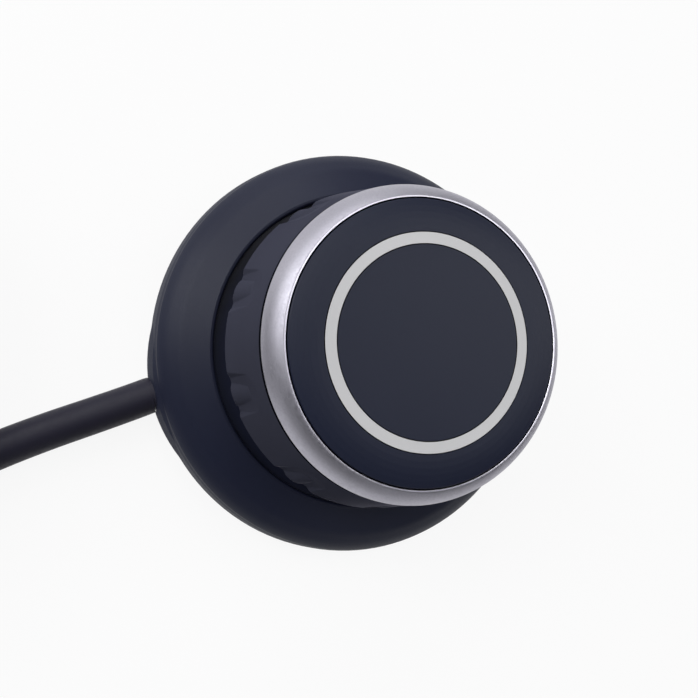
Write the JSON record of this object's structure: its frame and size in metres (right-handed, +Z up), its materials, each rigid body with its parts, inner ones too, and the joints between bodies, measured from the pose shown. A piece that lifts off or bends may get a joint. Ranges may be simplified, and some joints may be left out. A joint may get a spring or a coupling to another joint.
{
  "type": "rotary remote knob",
  "caption": "Corded push-and-turn remote knob: flared black base, fluted grip, silver trim ring, black face with a white light ring, and a coiled cord with a USB plug.",
  "frame": {"origin": "On the desk, on the knob's axis, in the middle of the base without its cord.", "axes": "+Z is up along the knob's axis, +Y is the way the cord leaves the base, +X completes the right hand."},
  "size_m": [0.0882, 0.1491, 0.027],
  "materials": {
    "base_plastic": "fine matte texture, moulded",
    "cover_plastic": "plain matte, moulded",
    "foot_rubber": "soft, dull",
    "screw_steel": "nickel plated",
    "board_laminate": "green solder mask over glass laminate",
    "chip_resin": "moulded resin",
    "board_components": "ceramic with tinned ends",
    "terminal_brass": "stamped and plated",
    "lamp_plastic": "milky diffuser, satin",
    "grip_rubber": "soft matte",
    "trim_silver": "satin, turned",
    "face_plastic": "even matte",
    "cord_sheath": "smooth matte sheath",
    "plug_rubber": "overmoulded, matte",
    "plug_metal": "folded and nickel plated"
  },
  "bodies": {
    "base": {"base_housing": "base_plastic", "base_cover": "cover_plastic", "foot_ring": "foot_rubber", "cover_screws": "screw_steel", "main_board": "board_laminate", "board_screws": "screw_steel", "control_chip": "chip_resin", "board_parts": "board_components", "encoder_base": "chip_resin", "encoder_case": "screw_steel", "encoder_pins": "terminal_brass", "switch_dome": "screw_steel", "encoder_washer": "screw_steel", "encoder_nut": "terminal_brass", "light_link": "terminal_brass", "light_board": "board_laminate", "light_leds": "lamp_plastic", "cord_gland": "cord_sheath", "cord_wires": "terminal_brass", "cord_lead": "cord_sheath", "cord_coil": "cord_sheath", "cord_tie": "foot_rubber", "plug_grip": "plug_rubber", "plug_shell": "plug_metal", "plug_tongue": "lamp_plastic"},
    "rotor": {"encoder_rotor": "lamp_plastic"},
    "knob": {"encoder_shaft": "screw_steel", "knob_core": "cover_plastic", "hub_clip": "screw_steel", "knob_grip": "grip_rubber", "trim_ring": "trim_silver", "light_ring": "lamp_plastic", "face_rim": "face_plastic", "face_disc": "face_plastic"}
  },
  "joints": [
    {"name": "knob_turn", "type": "hinge", "parent": "base", "child": "rotor", "pos_m": [0, 0, 0.009], "axis": [0, 0, 1], "continuous": true},
    {"name": "knob_press", "type": "slide", "parent": "rotor", "child": "knob", "axis": [0, 0, -1], "range_m": [0, 0.0005], "stiffness_N_per_m": 2000, "springref_m": -0.001, "deforming": ["switch_dome"]}
  ]
}
